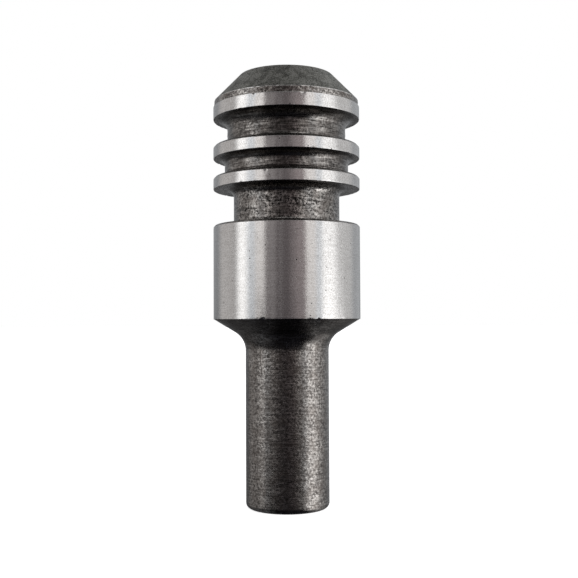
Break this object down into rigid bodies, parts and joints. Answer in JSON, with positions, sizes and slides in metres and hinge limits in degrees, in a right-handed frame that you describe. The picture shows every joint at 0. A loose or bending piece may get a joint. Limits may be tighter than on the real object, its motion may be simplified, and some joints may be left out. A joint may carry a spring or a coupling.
{
  "type": "impact bolt",
  "caption": "Solid turned steel striker pin: a coned flat nose, ground lands with ring grooves between them, a neck, a ground guide body and a plain round stem.",
  "frame": {"origin": "centre of the stem's flat end face, the face that strikes the tool", "axes": "+Z along the turning axis, from the stem's end face to the nose. The part is round, so +X and +Y may be any two directions square to it."},
  "size_m": [0.016, 0.016, 0.047],
  "materials": {
    "hardened_steel": "dark grey-brown as-hardened skin, with the guide body and the lands ground bright and satin"
  },
  "bodies": {
    "root": {"impact_bolt": "hardened_steel"}
  },
  "joints": []
}
